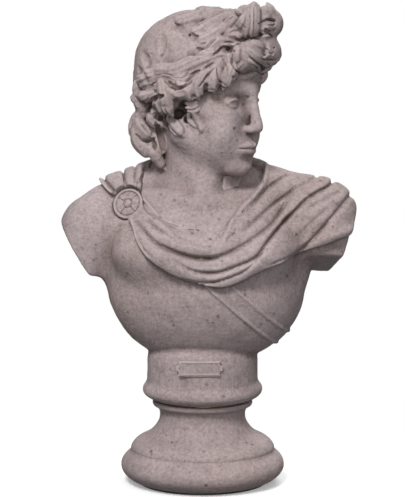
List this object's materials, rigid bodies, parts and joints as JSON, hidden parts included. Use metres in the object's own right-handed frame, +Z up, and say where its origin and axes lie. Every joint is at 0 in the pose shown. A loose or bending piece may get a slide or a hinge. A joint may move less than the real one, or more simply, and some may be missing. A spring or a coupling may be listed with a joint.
{
  "type": "marble bust",
  "caption": "Life-size classical bust of a draped youth, head turned to one side, with a round brooch, a shoulder strap and a small tablet, on a turned round socle.",
  "frame": {"origin": "centre of the felt pad's underside, where the socle stands", "axes": "+Z up, -Y towards the front of the chest, +X towards the figure's left shoulder, the way the face is turned"},
  "size_m": [0.4627, 0.26, 0.7555],
  "materials": {
    "marble": "weathered matt, sandy grain, grime in the hollows",
    "steel": "stainless, turned",
    "brass": "machined",
    "resin": "filled masonry resin",
    "felt": "wool felt"
  },
  "bodies": {
    "base": {"felt_pad": "felt", "socle": "marble", "stud_bush": "brass", "bearing_washer": "brass"},
    "figure": {"torso": "marble", "head": "marble", "head_pin": "steel", "brooch": "marble", "brooch_peg": "steel", "name_tablet": "marble", "tablet_pin_left": "steel", "tablet_pin_right": "steel", "stud": "steel", "stud_resin": "resin", "plain_washer": "steel", "disc_spring": "steel", "nut": "steel", "lock_nut": "steel"}
  },
  "joints": [
    {"name": "bust_turn", "type": "hinge", "parent": "base", "child": "figure", "pos_m": [0, 0, 0.1335], "axis": [0, 0, 1], "continuous": true}
  ]
}
